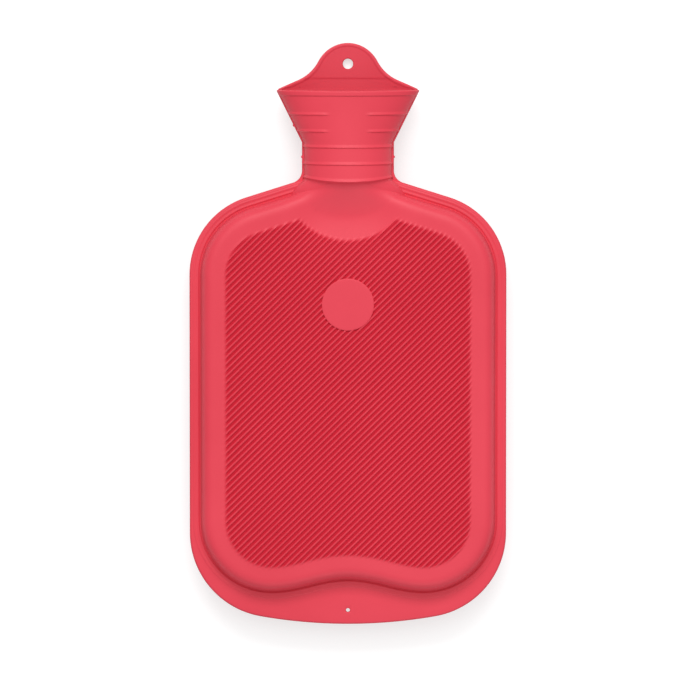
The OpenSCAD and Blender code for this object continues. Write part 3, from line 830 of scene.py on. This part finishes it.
def moulded(name, dark, light, roughness, grain, grain_depth, coat=0.0, groove=None):
    """Moulded rubber or plastic: faint cloudy tone, fine grain and a roughness that varies a little.

    With a groove colour, the grooves between the ribs get painted shade: that darker, deeper red
    and a lower specular level than the faces.
    """
    n = Nodes(name)
    place_in = n.add("ShaderNodeTexCoord").outputs["Object"]
    cloud = n.add("ShaderNodeTexNoise", {"Vector": place_in, "Scale": 14.0, "Detail": 3.0})
    speck = n.add("ShaderNodeTexNoise", {"Vector": place_in, "Scale": grain, "Detail": 4.0})
    tone = n.add("ShaderNodeMath", {0: cloud.outputs["Fac"], 1: 0.75}, operation="MULTIPLY")
    tone = n.add("ShaderNodeMath", {0: speck.outputs["Fac"], 1: 0.25, 2: tone.outputs[0]},
                 operation="MULTIPLY_ADD")
    ramp = n.add("ShaderNodeValToRGB", {"Fac": tone.outputs[0]})
    ramp.color_ramp.elements[0].position = 0.35
    ramp.color_ramp.elements[0].color = (*dark, 1)
    ramp.color_ramp.elements[1].position = 0.65
    ramp.color_ramp.elements[1].color = (*light, 1)
    rough = n.add("ShaderNodeMapRange", {
        "Value": speck.outputs["Fac"], "From Min": 0.3, "From Max": 0.7,
        "To Min": roughness - 0.05, "To Max": roughness + 0.06})
    bump = n.add("ShaderNodeBump", {
        "Height": speck.outputs["Fac"], "Strength": 0.5, "Distance": grain_depth})
    colour, specular = ramp.outputs["Color"], 0.35
    # Painted shade in the grooves between the ribs: the colour turns to the darker groove red and the
    # specular level drops there.
    if groove:
        deep = n.add("ShaderNodeAttribute", attribute_name="groove").outputs["Fac"]
        mix = n.add("ShaderNodeMix", {"Factor": deep, "A": colour, "B": (*groove, 1)}, data_type="RGBA")
        colour = next(s for s in mix.outputs if s.enabled)
        groove_shade_specular = n.add("ShaderNodeMapRange", {"Value": deep, "To Min": specular, "To Max": 0.12})
        specular = groove_shade_specular.outputs["Result"]
    shader = n.add("ShaderNodeBsdfPrincipled", {
        "Base Color": colour, "Roughness": rough.outputs["Result"], "Specular IOR Level": specular,
        "Normal": bump.outputs["Normal"], "Coat Weight": coat, "Coat Roughness": 0.35})
    n.add("ShaderNodeOutputMaterial", {"Surface": shader.outputs[0]})
    return n.material


def red_rubber():
    # The groove colour is painted shade: a darker, deeper red for the valleys between the ribs.
    return moulded("red_rubber", (0.7, 0.043, 0.071), (0.76, 0.053, 0.084), 0.5, 2600.0, 0.00006,
                   groove=(0.55, 0.012, 0.031))


def insert_plastic():
    return moulded("insert_plastic", (0.44, 0.035, 0.055), (0.5, 0.045, 0.07), 0.4, 1800.0, 0.00003)


def stopper_plastic():
    return moulded("stopper_plastic", (0.4, 0.02, 0.035), (0.47, 0.03, 0.05), 0.3, 1500.0, 0.00002,
                   coat=0.2)


def washer_rubber():
    return moulded("washer_rubber", (0.02, 0.02, 0.021), (0.035, 0.034, 0.034), 0.6, 3000.0, 0.00005)


def stage_material(name, colour, glow):
    """Pale floor that shows white to the camera and still takes the object's shadow."""
    n = Nodes(name)
    path = n.add("ShaderNodeLightPath")
    seen = n.add("ShaderNodeMath", {0: path.outputs["Is Camera Ray"], 1: path.outputs["Is Glossy Ray"]},
                 operation="MAXIMUM")
    seen = n.add("ShaderNodeMath", {0: seen.outputs[0], 1: path.outputs["Is Transmission Ray"]},
                 operation="MAXIMUM")
    strength = n.add("ShaderNodeMath", {0: seen.outputs[0], 1: glow}, operation="MULTIPLY")
    emission = n.add("ShaderNodeEmission", {"Color": (1, 1, 1, 1), "Strength": strength.outputs[0]})
    diffuse = n.add("ShaderNodeBsdfDiffuse", {"Color": (*colour, 1)})
    both = n.add("ShaderNodeAddShader", {0: diffuse.outputs[0], 1: emission.outputs[0]})
    n.add("ShaderNodeOutputMaterial", {"Surface": both.outputs[0]})
    return n.material


# Camera, light and stage


def make_camera():
    """Long lens over the bottle, leaning a little towards the neck's end as in the photograph."""
    lean, distance, frame_width = math.radians(4), 5.0, 0.442
    target = Vector((0.0013, -0.0098, SEAM_H * MM))
    data = bpy.data.cameras.new("camera")
    data.sensor_width = 36
    data.lens = data.sensor_width * distance / frame_width
    camera = bpy.data.objects.new("camera", data)
    bpy.context.scene.collection.objects.link(camera)
    camera.location = target + distance * Vector((0, math.sin(lean), math.cos(lean)))
    camera.rotation_euler = (-lean, 0, 0)
    bpy.context.scene.camera = camera


def area_light(name, location, size, power):
    data = bpy.data.lights.new(name, "AREA")
    data.shape = "RECTANGLE"
    data.size, data.size_y = size
    data.energy = power
    light = bpy.data.objects.new(name, data)
    bpy.context.scene.collection.objects.link(light)
    light.location = location
    light.rotation_euler = (Vector((0, 0, 0)) - light.location).to_track_quat("-Z", "Y").to_euler()


def make_lights():
    area_light("top_softbox", Vector((-0.1, 3.0, 3.0)), (2.8, 1.2), 92)
    area_light("front_softbox", Vector((0.1, 1.6, 3.7)), (3.4, 2.2), 45)
    area_light("foot_softbox", Vector((0.4, -3.0, 2.6)), (2.6, 1.2), 25)
    world = bpy.data.worlds.new("studio")
    bpy.context.scene.world = world
    world.use_nodes = True
    background = world.node_tree.nodes["Background"]
    background.inputs["Color"].default_value = (1, 1, 1, 1)
    background.inputs["Strength"].default_value = 0.46


def make_floor():
    mesh = bpy.data.meshes.new("floor")
    r, low = 6.0, -0.0003
    mesh.from_pydata([(-r, -r, low), (r, -r, low), (r, r, low), (-r, r, low)], [], [(0, 1, 2, 3)])
    floor = bpy.data.objects.new("floor", mesh)
    bpy.context.scene.collection.objects.link(floor)
    mesh.materials.append(stage_material("floor_paper", (0.5, 0.5, 0.5), 0.6))


def dress(obj, material):
    obj.data.materials.clear()
    obj.data.materials.append(material)


make_camera()
make_lights()
make_floor()

rubber = red_rubber()
body = bottle_body()
dress(body, rubber)
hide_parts("bottle")
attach(body, "bottle")

dress(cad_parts["neck_insert"], insert_plastic())
dress(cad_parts["stopper"], stopper_plastic())
dress(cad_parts["washer"], washer_rubber())

bpy.context.scene.view_settings.view_transform = "Standard"
